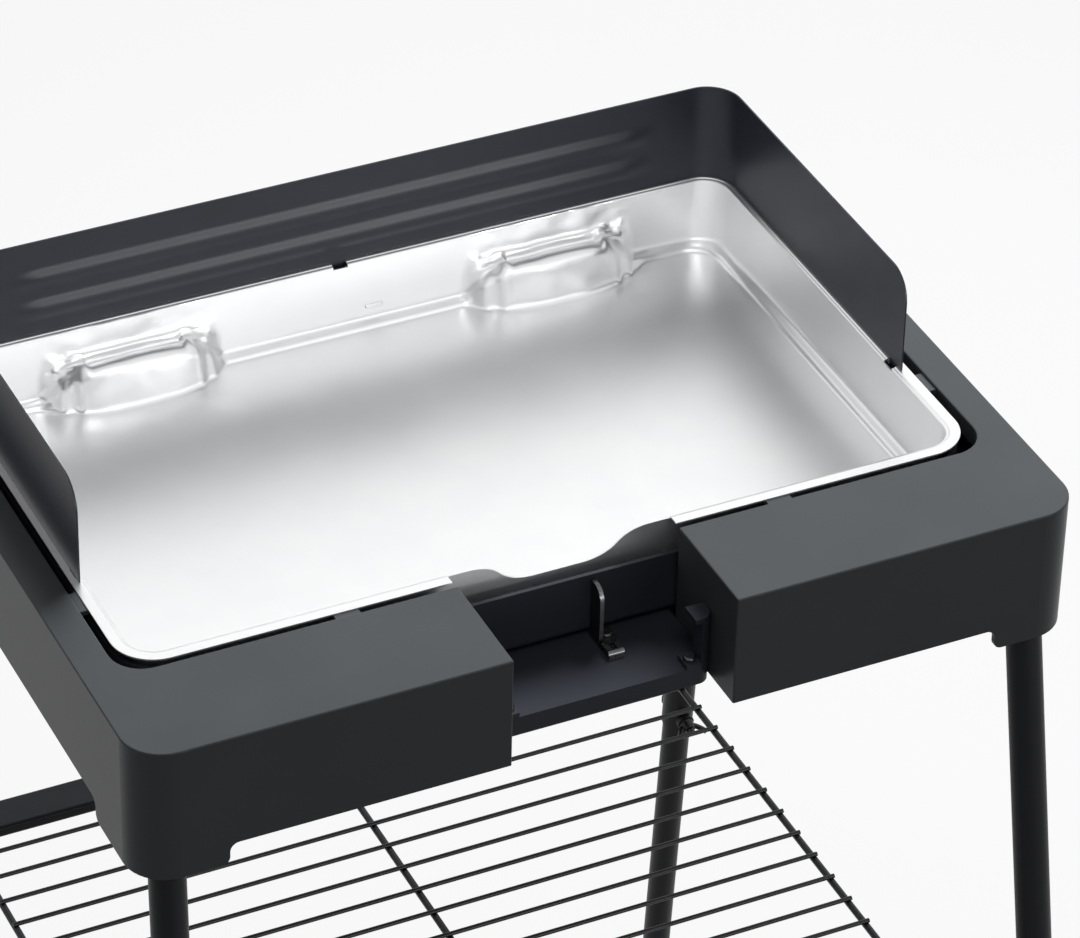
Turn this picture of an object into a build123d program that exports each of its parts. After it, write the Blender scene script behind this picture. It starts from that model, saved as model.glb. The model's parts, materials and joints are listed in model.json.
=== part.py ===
from build123d import *
import math
import os

# An electric grill on a four-legged stand: a moulded body with a water tray, a wind shield and
# a front bay for the plug-in heater, on tube legs with a wire shelf.
# Millimetres. +X right, +Y back, +Z up. The origin is on the floor, under the middle of the body.

# Water tray
TRAY_WIDTH = 527.0
TRAY_LENGTH = 325.6
TRAY_DEPTH = 45.0
TRAY_SHEET = 1.0
TRAY_DRAFT = 4.0
TRAY_FLOOR_RADIUS = 10.0
RIM_WIDTH = 8.5
RIM_CORNER = 26.0
RIM_SINK = 1.0
RIM_GAP = 5.3
RIM_BAY_MARGIN = 1.0

# Dip in the tray's front wall, where the heater's arms pass
DIP_TOP_WIDTH = 88.0
DIP_FLOOR_WIDTH = 58.0
DIP_DEPTH = 16.5
DIP_RADIUS = 7.0

# Bosses formed in the tray's back wall, which carry the heater
BOSS_SPREAD = 138.0
BOSS_WIDTH = 114.0
BOSS_REACH = 24.0
BOSS_HEIGHT = 28.0
BOSS_DRAFT = 9.0
BOSS_RADIUS = 6.0
GROOVE_WIDTH = 62.0
GROOVE_REACH = 8.0
GROOVE_DEPTH = 5.0
GROOVE_FROM_WALL = 4.0

# Body
SIDE_BORDER = 26.5
FRONT_BORDER = 79.6
BACK_BORDER = 24.8
BODY_TOP = 890.0
SKIRT_DEPTH = 73.0
CORNER_DROP = 14.0
DROP_ALONG_FRONT = 53.0
DROP_ALONG_SIDE = 65.0
STEP_RADIUS = 5.5
STEP_SHARE = 0.45
BODY_CORNER = 25.0
BODY_WALL = 3.0
EDGE_RADIUS = 1.0
OPENING_CORNER = 20.0
LIP_DEPTH = 12.0
SCREW_BOSS_RADIUS = 4.5

# Tabs of the housing that carry the tray's rim
TAB_REACH = 3.5
TAB_THICKNESS = 3.0
TAB_WIDTH_FRONT = 15.0
TAB_WIDTH_SIDE = 18.0
TAB_SPREAD_FRONT = 134.0
TAB_SPREAD_SIDE = 95.0

# Front bay
BAY_WIDTH = 137.0
BAY_FLOOR_DROP = 63.0
BAY_FLOOR_WALL = 3.0
BAY_FLOOR_FIT = 0.3
BAY_FLOOR_SETBACK = 26.0
BAY_FLOOR_CORNER = 8.0
BAY_FLOOR_UNDER_WELL = 40.0
BAY_FLANGE_WIDTH = 20.0
BAY_FLANGE_THICKNESS = 2.0
BAY_FLANGE_INSET = 9.0

# Guide posts of the bay
GUIDE_GAP = 0.5
GUIDE_WIDTH = 7.0
GUIDE_DEPTH = 12.0
GUIDE_HEIGHT = 34.0
GUIDE_FOOT_WIDTH = 9.0
GUIDE_FOOT_THICKNESS = 3.0
GUIDE_TOP_OVERHANG = 4.5
GUIDE_TOP_DEPTH = 14.0
GUIDE_TOP_THICKNESS = 3.0

# Interlock blade and catch loop
BLADE_OFFSET = 15.8
BLADE_THICKNESS = 2.5
BLADE_DEPTH = 13.0
BLADE_HEIGHT = 40.0
BLADE_NOSE_RADIUS = 8.0
BLADE_FOOT_WIDTH = 10.0
CATCH_WIDTH = 10.0
CATCH_LENGTH = 11.5
CATCH_HEIGHT = 5.0
CATCH_SHEET = 1.5
CATCH_BEND = 2.2
CATCH_SLOT_WIDTH = 3.4
CATCH_GAP = 1.5

# Tub under the tray
WELL_WALL = 2.5
WELL_DEPTH = 60.0
WELL_SINK = 8.0
WELL_SETBACK = 0.5
WELL_FRONT_STEP = 1.6
WELL_BAY_SINK = 20.0
WELL_BAY_MARGIN = 3.0
WELL_FLOOR_RADIUS = 4.0
WELL_SOCKET_GAP = 2.0
COLLAR_DROP = 37.0
COLLAR_THICKNESS = 3.0
COLLAR_FIT = 0.5
COLLAR_FRONT = 3.0
WELL_SCREW_SPREAD = 110.0
WELL_FOOT_SPREAD = 45.0
WELL_FOOT_INSET = 15.0

# Wind shield
SHIELD_HEIGHT = 65.0
SHIELD_SHEET = 1.0
SHIELD_RIM_INSET = 4.5
SHIELD_WING_LENGTH = 238.0
SHIELD_NOSE_RADIUS = 18.0
BEAD_HEIGHTS = (17.5, 38.5)
BEAD_RADIUS = 7.0
BEAD_RISE = 2.3
BEAD_END_GAP = 24.0
TANG_WIDTH = 9.0
TANG_DEPTH = 5.0
TANG_FIT = 0.3
TANG_FROM_WING_END = 5.0

# Legs
LOWER_TUBE = 19.0
TUBE_WALL = 1.0
TUBE_SLIP = 0.15
LEG_INSET_X = 22.9
LEG_INSET_Y = 18.6
SPLAY_SIDE = 2.1
SPLAY_BACK = 8.1
SOCKET_DEPTH = 40.0
SOCKET_WALL = 2.5
SOCKET_FIT = 0.15
SOCKET_RIB = 3.0
UPPER_LEG_END = 396.0
PLUG_DEPTH = 45.0
LOCK_SCREW_RISE = 10.0
SPOT_FACE_DEPTH = 0.6

# Feet
FOOT_WALL = 2.2
FOOT_HEIGHT = 30.0
FOOT_PAD = 6.0
FOOT_FIT = 0.05
FOOT_EDGE = 1.0

# Leg bolts, saddle washers and wing nuts
BOLT_RADIUS = 2.5
BOLT_HOLE_FIT = 0.2
BOLT_FROM_END = 8.0
BOLT_HEAD_RADIUS = 5.0
BOLT_HEAD_HEIGHT = 3.0
BOLT_PROUD = 10.0
SADDLE_RADIUS = 6.0
SADDLE_THICKNESS = 2.4
SADDLE_FIT = 0.05
NUT_FIT = 0.1
NUT_SEAT_GAP = 0.2
NUT_BASE_RADIUS = 5.0
NUT_TOP_RADIUS = 4.0
NUT_HEIGHT = 6.5
WING_SPAN = 24.0
WING_RISE = 13.0
WING_FOOT = 2.0
WING_SLANT = 3.5
WING_TIP = 6.5
WING_TIP_RADIUS = 2.2
WING_THICKNESS = 2.4

# Crossbars, flat tubes
CROSSBAR_HEIGHT = 481.2
BAR_DEPTH = 28.0
BAR_THICKNESS = 8.6
BAR_CORNER = 2.8
BAR_WRAP = 5.0
COPE_GAP = 0.1
PLUG_LENGTH = 20.0
PLUG_INSET = 3.0
PLUG_FIT = 0.05
BAR_SCREW_GRIP = 15.0
BAR_SCREW_SEAT = 0.3

# Wire shelf
SHELF_PITCH = 23.6
SHELF_ROD_RADIUS = 1.5
SHELF_WIRE_RADIUS = 2.25
SHELF_WELD = 0.6
SHELF_ROD_OVERHANG = 2.0
SHELF_SIDE_GAP = 21.7
SHELF_END_GAP = 26.5
SHELF_SEAT_GAP = 0.3
HOOK_GAP = 0.6
HOOK_DROP = 14.0
HOOK_RADIUS = 5.0

# Small screws
SCREW_RADIUS = 2.0
SCREW_LENGTH = 10.0
SCREW_HEAD_RADIUS = 3.8
SCREW_HEAD_HEIGHT = 2.4
SCREW_HEAD_GAP = 0.5
SCREW_FIT = 0.05

# Sizes worked out from the ones above
BODY_WIDTH = TRAY_WIDTH + 2 * SIDE_BORDER
BODY_DEPTH = TRAY_LENGTH + FRONT_BORDER + BACK_BORDER
BODY_FRONT = -BODY_DEPTH / 2
BODY_BACK = BODY_DEPTH / 2
TRAY_FRONT = BODY_FRONT + FRONT_BORDER
TRAY_BACK = BODY_BACK - BACK_BORDER
TRAY_MID = (TRAY_FRONT + TRAY_BACK) / 2
SKIRT_BOTTOM = BODY_TOP - SKIRT_DEPTH
CORNER_BOTTOM = SKIRT_BOTTOM - CORNER_DROP
RIM_TOP = BODY_TOP - RIM_SINK
RIM_UNDER = RIM_TOP - TRAY_SHEET
MOUTH_WIDTH = TRAY_WIDTH - 2 * RIM_WIDTH
MOUTH_LENGTH = TRAY_LENGTH - 2 * RIM_WIDTH
MOUTH_FRONT = TRAY_FRONT + RIM_WIDTH
TRAY_FLOOR = RIM_TOP - TRAY_DEPTH
OPENING_WIDTH = TRAY_WIDTH + 2 * RIM_GAP
OPENING_LENGTH = TRAY_LENGTH + 2 * RIM_GAP
OPENING_FRONT = TRAY_FRONT - RIM_GAP
BAY_HALF = BAY_WIDTH / 2
BAY_FLOOR_TOP = BODY_TOP - BAY_FLOOR_DROP
BAY_FLOOR_FRONT = BODY_FRONT + BAY_FLOOR_SETBACK
BAY_FLOOR_HALF = BAY_HALF - BAY_FLOOR_FIT
GUIDE_OUTER = BAY_HALF - GUIDE_GAP
GUIDE_INNER = GUIDE_OUTER - GUIDE_WIDTH
FLANGE_UNDER = SKIRT_BOTTOM - BAY_FLANGE_THICKNESS
WELL_HALF = TRAY_WIDTH / 2 - WELL_SETBACK
WELL_FRONT = TRAY_FRONT - WELL_FRONT_STEP
BAY_FLOOR_BACK = WELL_FRONT + BAY_FLOOR_UNDER_WELL
WELL_BACK = TRAY_BACK - WELL_SETBACK
WELL_UNDER = BODY_TOP - WELL_DEPTH
STRIP_MID = (OPENING_WIDTH / 2 + BODY_WALL + BODY_WIDTH / 2 - BODY_WALL) / 2
UPPER_RADIUS = LOWER_TUBE / 2 + TUBE_SLIP + TUBE_WALL
SOCKET_BORE = UPPER_RADIUS + SOCKET_FIT
SOCKET_RADIUS = SOCKET_BORE + SOCKET_WALL
SOCKET_END = CORNER_BOTTOM + SOCKET_DEPTH
SADDLE_FACE = UPPER_RADIUS + SADDLE_THICKNESS
NUT_SEAT = SADDLE_FACE + NUT_SEAT_GAP
CROSSBAR_TOP = CROSSBAR_HEIGHT + BAR_THICKNESS / 2
SHELF_WIRE_HEIGHT = CROSSBAR_TOP + SHELF_SEAT_GAP + SHELF_WIRE_RADIUS
SHELF_ROD_HEIGHT = SHELF_WIRE_HEIGHT + SHELF_WIRE_RADIUS + SHELF_ROD_RADIUS - SHELF_WELD

SIDES = {"left": -1, "right": 1}
ENDS = {"front": -1, "rear": 1}
LEGS = [(f"{end}_{side}", SIDES[side], ENDS[end]) for end in ENDS for side in SIDES]

# How far a cutting shape runs on past the face that it cuts
PAST = 5.0
ON_BASE = (Align.CENTER, Align.CENTER, Align.MIN)
BELOW = (Align.CENTER, Align.CENTER, Align.MAX)


def block(low, high):
    """A box between two corners."""
    size = [b - a for a, b in zip(low, high)]
    middle = [(a + b) / 2 for a, b in zip(low, high)]
    return Pos(*middle) * Box(*size)


def rod(start, end, radius):
    """A round bar between two points."""
    axis = Vector(end) - Vector(start)
    return Plane(origin=start, z_dir=axis) * Cylinder(radius, axis.length, align=ON_BASE)


def tube(start, end, outer, inner):
    return rod(start, end, outer) - rod(start, end, inner)


def prism(outline, bottom, top):
    """A flat outline, drawn on the floor, raised between two heights."""
    return extrude(Pos(0, 0, bottom) * outline, amount=top - bottom)


def group(solids):
    """Separate solids in one piece."""
    return Compound(children=[solid for shape in solids for solid in shape.solids()])


def screw(seat, outward, length=SCREW_LENGTH):
    """A round-headed screw. Its head lies on the seat and its shank goes in, against outward."""
    head = Cylinder(SCREW_HEAD_RADIUS, SCREW_HEAD_HEIGHT, align=ON_BASE)
    head = fillet(head.edges().sort_by(Axis.Z)[-1], SCREW_HEAD_HEIGHT / 2)
    return Plane(origin=seat, z_dir=outward) * (head + Cylinder(SCREW_RADIUS, length, align=BELOW))


def screw_hole(seat, outward, length=SCREW_LENGTH):
    """Room for a screw's shank, open through the seat."""
    hole = Cylinder(SCREW_RADIUS + SCREW_FIT, length + PAST, align=BELOW)
    return Plane(origin=seat, z_dir=outward) * (Pos(0, 0, PAST) * hole)


def leg_point(side, end, height):
    """The point of a leg's axis at a height above the floor."""
    down = CORNER_BOTTOM - height
    x = BODY_WIDTH / 2 - LEG_INSET_X + down * math.tan(math.radians(SPLAY_SIDE))
    y = BODY_DEPTH / 2 - LEG_INSET_Y + down * math.tan(math.radians(SPLAY_BACK))
    return Vector(side * x, end * y, height)


def leg_axes(side, end):
    """A leg's own axes: inwards along X, inwards along Y and up along the tube."""
    up = (leg_point(side, end, BODY_TOP) - leg_point(side, end, 0)).normalized()
    inward_y = Vector(0, -end, 0)
    inward_y = (inward_y - up * inward_y.dot(up)).normalized()
    inward_x = inward_y.cross(up)
    if inward_x.X * side > 0:
        inward_x = inward_x * -1
    return inward_x, inward_y, up


def well_corner():
    """The corner radius at which the tub's corner clears the leg socket by its gap."""
    axis = leg_point(1, 1, SOCKET_END)
    reach = SOCKET_RADIUS + WELL_SOCKET_GAP
    a = axis.X - WELL_HALF
    b = axis.Y - WELL_BACK
    half = reach - a - b
    return half + math.sqrt(half ** 2 - a ** 2 - b ** 2 + reach ** 2)


def opening_outline(grow=0.0):
    outline = RectangleRounded(OPENING_WIDTH + 2 * grow, OPENING_LENGTH + 2 * grow, OPENING_CORNER + grow)
    return Pos(0, TRAY_MID) * outline


def bay_outline(grow=0.0):
    """The bay seen from above, from in front of the body to the tray's opening."""
    length = OPENING_FRONT - BODY_FRONT + PAST
    middle = (OPENING_FRONT + BODY_FRONT - PAST) / 2 + OPENING_CORNER / 2
    return Pos(0, middle) * Rectangle(BAY_WIDTH + 2 * grow, length + OPENING_CORNER)


def skirt_notch(width):
    """The skirt's raised stretch, seen square on, round where it rises and where it levels out."""
    radius = min(STEP_RADIUS, STEP_SHARE * CORNER_DROP)
    raised = Pos(0, SKIRT_BOTTOM - CORNER_DROP / 2) * Rectangle(width, CORNER_DROP)
    under = Pos(0, CORNER_BOTTOM - CORNER_DROP / 2) * Rectangle(2 * width, CORNER_DROP)
    outline = raised + under
    turns = [v for v in outline.vertices() if abs(abs(v.X) - width / 2) < radius]
    return fillet(turns, radius)


def well_screw_places():
    """Where the tub's collar is screwed up into the housing's bosses."""
    steps = (-WELL_SCREW_SPREAD, 0, WELL_SCREW_SPREAD)
    height = BODY_TOP - COLLAR_DROP
    return [Vector(side * STRIP_MID, TRAY_MID + step, height) for side in (-1, 1) for step in steps]


def flange_screw_places():
    """Where the bay floor's flanges are screwed up into the front blocks."""
    x = BAY_HALF + BODY_WALL + BAY_FLANGE_WIDTH / 2
    front = BAY_FLOOR_FRONT + BAY_FLANGE_INSET
    back = OPENING_FRONT - BODY_WALL - BAY_FLANGE_INSET
    return [Vector(side * x, y, SKIRT_BOTTOM) for side in (-1, 1) for y in (front, back)]


def well_foot_places():
    """Where the tub stands on the bay floor."""
    y = WELL_FRONT + WELL_FOOT_INSET
    return [Vector(side * WELL_FOOT_SPREAD, y, BAY_FLOOR_TOP) for side in (-1, 1)]


def guide_screw_place(side):
    """Where a guide post's foot is screwed down to the bay floor."""
    x = GUIDE_INNER - GUIDE_FOOT_WIDTH / 2
    return Vector(side * x, BAY_FLOOR_FRONT + GUIDE_DEPTH / 2, BAY_FLOOR_TOP + GUIDE_FOOT_THICKNESS)


def blade_screw_place():
    x = BLADE_OFFSET + BLADE_THICKNESS + BLADE_FOOT_WIDTH / 2
    return Vector(x, WELL_FRONT - BLADE_DEPTH / 2, BAY_FLOOR_TOP + BLADE_THICKNESS)


def lock_screw_place(side, end):
    """The seat and outward direction of the screw that holds a leg in its socket."""
    inward_x = leg_axes(side, end)[0]
    seat = leg_point(side, end, CORNER_BOTTOM + LOCK_SCREW_RISE)
    return seat + inward_x * (SOCKET_RADIUS - SPOT_FACE_DEPTH), inward_x


def bolt_middle(side, end):
    up = leg_axes(side, end)[2]
    return leg_point(side, end, UPPER_LEG_END) + up * BOLT_FROM_END


def housing_shell():
    plan = RectangleRounded(BODY_WIDTH, BODY_DEPTH, BODY_CORNER)
    plan = plan - opening_outline() - bay_outline()
    corners = [v for v in plan.vertices() if abs(abs(v.X) - BAY_HALF) < EDGE_RADIUS]
    plan = fillet(corners, EDGE_RADIUS)
    body = prism(plan, CORNER_BOTTOM, BODY_TOP)
    body = fillet(body.faces().sort_by(Axis.Z)[-1].edges(), EDGE_RADIUS)
    front_notch = Plane.XZ * skirt_notch(BODY_WIDTH - 2 * DROP_ALONG_FRONT)
    side_notch = Plane.YZ * skirt_notch(BODY_DEPTH - 2 * DROP_ALONG_SIDE)
    body -= extrude(front_notch, amount=BODY_DEPTH, both=True)
    body -= extrude(side_notch, amount=BODY_WIDTH, both=True)

    inner_width = BODY_WIDTH - 2 * BODY_WALL
    inner_depth = BODY_DEPTH - 2 * BODY_WALL
    inside = RectangleRounded(inner_width, inner_depth, BODY_CORNER - BODY_WALL)
    hollow = inside - opening_outline(BODY_WALL) - bay_outline(BODY_WALL)
    lip_room = opening_outline(BODY_WALL) - bay_outline(BODY_WALL)
    shell = body - prism(hollow, CORNER_BOTTOM - PAST, BODY_TOP - BODY_WALL)
    shell = shell - prism(lip_room, CORNER_BOTTOM - PAST, BODY_TOP - LIP_DEPTH)

    for place in well_screw_places() + flange_screw_places():
        shell += rod(place, (place.X, place.Y, BODY_TOP - BODY_WALL), SCREW_BOSS_RADIUS)
    for name, side, end in LEGS:
        shell += leg_socket(side, end) & body
    for tab in tray_tabs():
        shell += tab

    for name, side, end in LEGS:
        mouth = leg_point(side, end, CORNER_BOTTOM - PAST)
        shell -= rod(mouth, leg_point(side, end, SOCKET_END), SOCKET_BORE)
        seat, outward = lock_screw_place(side, end)
        spot = rod(seat, seat + outward * PAST, SCREW_HEAD_RADIUS + SCREW_HEAD_GAP)
        shell -= spot + screw_hole(seat, outward)
    for place in well_screw_places():
        shell -= screw_hole(place, (0, 0, -1))
    for place in flange_screw_places():
        shell -= screw_hole(place, (0, 0, -1))
    return shell


def leg_socket(side, end):
    """A leg's socket and the two ribs that tie it to the walls of its corner."""
    inward_x, inward_y, up = leg_axes(side, end)
    top = leg_point(side, end, SOCKET_END) + up * SOCKET_WALL
    socket = rod(leg_point(side, end, CORNER_BOTTOM - PAST), top, SOCKET_RADIUS)
    middle = leg_point(side, end, SOCKET_END)
    wall_x = side * (BODY_WIDTH / 2 - BODY_WALL / 2)
    wall_y = end * (BODY_DEPTH / 2 - BODY_WALL / 2)
    half = SOCKET_RIB / 2
    low_x, high_x = sorted((middle.X, wall_x))
    low_y, high_y = sorted((middle.Y, wall_y))
    rib_x = block((low_x, middle.Y - half, CORNER_BOTTOM), (high_x, middle.Y + half, SOCKET_END))
    rib_y = block((middle.X - half, low_y, CORNER_BOTTOM), (middle.X + half, high_y, SOCKET_END))
    return socket + rib_x + rib_y


def tray_tabs():
    """The tabs under the tray's rim, each rooted in the opening's lip."""
    reach = RIM_GAP + TAB_REACH
    root = BODY_WALL / 2
    low = RIM_UNDER - TAB_THICKNESS
    half_front = TAB_WIDTH_FRONT / 2
    half_side = TAB_WIDTH_SIDE / 2
    edge_x = OPENING_WIDTH / 2
    edge_y = OPENING_LENGTH / 2
    tabs = []
    for side in (-1, 1):
        for end in (-1, 1):
            x = side * TAB_SPREAD_FRONT
            low_y, high_y = sorted((TRAY_MID + end * (edge_y - reach), TRAY_MID + end * (edge_y + root)))
            tabs.append(block((x - half_front, low_y, low), (x + half_front, high_y, RIM_UNDER)))
            y = TRAY_MID + end * TAB_SPREAD_SIDE
            low_x, high_x = sorted((side * (edge_x - reach), side * (edge_x + root)))
            tabs.append(block((low_x, y - half_side, low), (high_x, y + half_side, RIM_UNDER)))
    return tabs


def well_collar():
    """The tub's collar under the gap round the tray, open at the bay and round the rear sockets."""
    half = BODY_WIDTH / 2 - BODY_WALL - COLLAR_FIT
    front = OPENING_FRONT - BODY_WALL - COLLAR_FRONT
    back = BODY_BACK - BODY_WALL - COLLAR_FIT
    top = BODY_TOP - COLLAR_DROP
    bottom = top - COLLAR_THICKNESS
    outline = Pos(0, (front + back) / 2) * Rectangle(2 * half, back - front)
    collar = prism(outline - bay_outline(BODY_WALL + COLLAR_FIT), bottom, top)
    reach = SOCKET_RADIUS + WELL_SOCKET_GAP
    for side in SIDES.values():
        axis = leg_point(side, 1, SOCKET_END)
        low_x, high_x = sorted((axis.X - side * reach, side * BODY_WIDTH / 2))
        collar -= block((low_x, axis.Y - reach, bottom), (high_x, BODY_BACK, top))
    return collar


def tray_well():
    radius = well_corner()
    middle = (WELL_FRONT + WELL_BACK) / 2
    length = WELL_BACK - WELL_FRONT
    outside = Pos(0, middle) * RectangleRounded(2 * WELL_HALF, length, radius)
    inner_width = 2 * (WELL_HALF - WELL_WALL)
    inside = Pos(0, middle) * RectangleRounded(inner_width, length - 2 * WELL_WALL, radius - WELL_WALL)
    well = prism(outside, WELL_UNDER, BODY_TOP - WELL_SINK)
    well = fillet(well.faces().sort_by(Axis.Z)[0].edges(), WELL_FLOOR_RADIUS) + well_collar()
    room = prism(inside, WELL_UNDER + WELL_WALL, BODY_TOP)
    inner_radius = max(WELL_FLOOR_RADIUS - WELL_WALL, EDGE_RADIUS)
    well = well - fillet(room.faces().sort_by(Axis.Z)[0].edges(), inner_radius)
    notch = BAY_HALF + BODY_WALL + WELL_BAY_MARGIN
    well -= block((-notch, WELL_FRONT - PAST, BODY_TOP - WELL_BAY_SINK), (notch, WELL_FRONT + PAST, BODY_TOP))
    for place in well_screw_places():
        well -= screw_hole(place, (0, 0, -1), length=COLLAR_THICKNESS)
    for place in well_foot_places():
        well += rod(place, (place.X, place.Y, WELL_UNDER + WELL_WALL / 2), SCREW_BOSS_RADIUS)
        well -= screw_hole(place, (0, 0, -1), length=SCREW_LENGTH - BAY_FLOOR_WALL)
    return well


def bay_floor_outline():
    """The bay floor seen from above, with its front corners round."""
    middle = (BAY_FLOOR_BACK + BAY_FLOOR_FRONT) / 2
    outline = Pos(0, middle) * Rectangle(2 * BAY_FLOOR_HALF, BAY_FLOOR_BACK - BAY_FLOOR_FRONT)
    return fillet(outline.vertices().sort_by(Axis.Y)[:2], BAY_FLOOR_CORNER)


def bay_floor():
    wall = BAY_FLOOR_WALL
    length = BAY_FLOOR_BACK - BAY_FLOOR_FRONT
    middle = (BAY_FLOOR_BACK + BAY_FLOOR_FRONT) / 2
    inside = Pos(0, middle + wall) * Rectangle(2 * (BAY_FLOOR_HALF - wall), length)
    inside = fillet(inside.vertices().sort_by(Axis.Y)[:2], max(BAY_FLOOR_CORNER - wall, EDGE_RADIUS))
    floor = prism(bay_floor_outline(), FLANGE_UNDER, BAY_FLOOR_TOP)
    floor = floor - prism(inside, FLANGE_UNDER - PAST, BAY_FLOOR_TOP - wall)
    outer = BAY_HALF + BODY_WALL + BAY_FLANGE_WIDTH
    front = BAY_FLOOR_FRONT + BAY_FLOOR_CORNER
    for side in SIDES.values():
        low_x, high_x = sorted((side * (BAY_FLOOR_HALF - wall / 2), side * outer))
        floor += block((low_x, front, FLANGE_UNDER), (high_x, BAY_FLOOR_BACK, SKIRT_BOTTOM))
        floor -= screw_hole(guide_screw_place(side), (0, 0, 1))
    for place in flange_screw_places():
        floor -= screw_hole(place, (0, 0, -1), length=BAY_FLANGE_THICKNESS)
    for place in well_foot_places():
        floor -= screw_hole(place, (0, 0, -1), length=wall)
    floor -= screw_hole(blade_screw_place(), (0, 0, 1))
    return floor


def bay_guide(side):
    """A guide post beside the bay's wall, with a plate top and a foot that is screwed down."""
    top = BAY_FLOOR_TOP + GUIDE_HEIGHT
    foot_top = BAY_FLOOR_TOP + GUIDE_FOOT_THICKNESS
    guide = None
    for reach, depth, bottom, height in (
        (0.0, GUIDE_DEPTH, BAY_FLOOR_TOP, top),
        (GUIDE_TOP_OVERHANG, GUIDE_TOP_DEPTH, top - GUIDE_TOP_THICKNESS, top),
        (GUIDE_FOOT_WIDTH, GUIDE_DEPTH, BAY_FLOOR_TOP, foot_top),
    ):
        low_x, high_x = sorted((side * (GUIDE_INNER - reach), side * GUIDE_OUTER))
        slab = block((low_x, BAY_FLOOR_FRONT, bottom), (high_x, BAY_FLOOR_FRONT + depth, height))
        guide = slab if guide is None else guide + slab
    guide = guide & prism(bay_floor_outline(), BAY_FLOOR_TOP, top)
    return guide - screw_hole(guide_screw_place(side), (0, 0, 1))


def interlock_blade():
    front = WELL_FRONT - BLADE_DEPTH
    side = BLADE_OFFSET + BLADE_THICKNESS
    blade = block((BLADE_OFFSET, front, BAY_FLOOR_TOP), (side, WELL_FRONT, BAY_FLOOR_TOP + BLADE_HEIGHT))
    nose = blade.edges().filter_by(Axis.X).group_by(Axis.Z)[-1].sort_by(Axis.Y)[0]
    blade = fillet(nose, BLADE_NOSE_RADIUS)
    foot_top = BAY_FLOOR_TOP + BLADE_THICKNESS
    blade += block((BLADE_OFFSET, front, BAY_FLOOR_TOP), (side + BLADE_FOOT_WIDTH, WELL_FRONT, foot_top))
    return blade - screw_hole(blade_screw_place(), (0, 0, 1))


def catch_loop():
    back = WELL_FRONT - BLADE_DEPTH - CATCH_GAP
    low = (BLADE_OFFSET, back - CATCH_LENGTH, BAY_FLOOR_TOP)
    high = (BLADE_OFFSET + CATCH_WIDTH, back, BAY_FLOOR_TOP + CATCH_HEIGHT)
    loop = block(low, high)
    top_edges = loop.edges().filter_by(Axis.X).group_by(Axis.Z)[-1]
    loop = fillet(top_edges, CATCH_BEND)
    under_low = (low[0] - PAST, low[1] + CATCH_SHEET, low[2] - PAST)
    under = block(under_low, (high[0] + PAST, high[1] - CATCH_SHEET, high[2] - CATCH_SHEET))
    cheek = (CATCH_WIDTH - CATCH_SLOT_WIDTH) / 2
    slot_low = (low[0] + cheek, low[1] + 2 * CATCH_SHEET, low[2])
    slot = block(slot_low, (high[0] - cheek, high[1] - 2 * CATCH_SHEET, high[2] + PAST))
    return loop - under - slot


def tray_boss(shrink):
    """One boss form on the tray's floor against the back wall, smaller by the sheet for its hollow."""
    back = TRAY_BACK - RIM_WIDTH
    reach = BOSS_REACH + RIM_WIDTH / 2
    outline = RectangleRounded(BOSS_WIDTH - 2 * shrink, 2 * (reach - shrink), BOSS_RADIUS)
    height = BOSS_HEIGHT - shrink
    form = extrude(Pos(0, back, TRAY_FLOOR) * outline, amount=height, taper=BOSS_DRAFT)
    form = fillet(form.faces().sort_by(Axis.Z)[-1].edges(), BOSS_RADIUS - 2 * shrink)
    low = TRAY_FLOOR + BOSS_HEIGHT - GROOVE_DEPTH - shrink
    groove_back = back - GROOVE_FROM_WALL + shrink
    half = GROOVE_WIDTH / 2 + shrink
    groove_low = (-half, groove_back - GROOVE_REACH - 2 * shrink, low)
    return form - block(groove_low, (half, groove_back, BODY_TOP))


def water_tray():
    mouth = Pos(0, TRAY_MID) * RectangleRounded(MOUTH_WIDTH, MOUTH_LENGTH, RIM_CORNER - RIM_WIDTH)
    wall_outline = RectangleRounded(
        MOUTH_WIDTH + 2 * TRAY_SHEET, MOUTH_LENGTH + 2 * TRAY_SHEET, RIM_CORNER - RIM_WIDTH + TRAY_SHEET
    )
    wall_outline = Pos(0, TRAY_MID) * wall_outline
    rim = Pos(0, TRAY_MID) * RectangleRounded(TRAY_WIDTH, TRAY_LENGTH, RIM_CORNER)
    down = (0, 0, -1)
    top = Pos(0, 0, RIM_TOP)
    outside = extrude(top * wall_outline, amount=TRAY_DEPTH + TRAY_SHEET, dir=down, taper=TRAY_DRAFT)
    cavity = extrude(top * mouth, amount=TRAY_DEPTH, dir=down, taper=TRAY_DRAFT)
    outside = fillet(outside.faces().sort_by(Axis.Z)[0].edges(), TRAY_FLOOR_RADIUS + TRAY_SHEET)
    cavity = fillet(cavity.faces().sort_by(Axis.Z)[0].edges(), TRAY_FLOOR_RADIUS)
    for side in (-1, 1):
        cavity -= Pos(side * BOSS_SPREAD, 0, 0) * tray_boss(0)
        outside -= Pos(side * BOSS_SPREAD, 0, -TRAY_SHEET) * tray_boss(TRAY_SHEET)
    tray = prism(rim, RIM_UNDER, RIM_TOP) + outside - cavity

    half = BAY_HALF + RIM_BAY_MARGIN
    tray -= block(
        (-half, TRAY_FRONT - PAST, RIM_UNDER - PAST), (half, MOUTH_FRONT - TRAY_SHEET, RIM_TOP + PAST)
    )
    dip = extrude(Plane.XZ.offset(-MOUTH_FRONT) * tray_dip(), amount=PAST, both=True)
    tray -= dip
    for slot in tang_blocks(TANG_FIT):
        tray -= slot
    return tray


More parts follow.
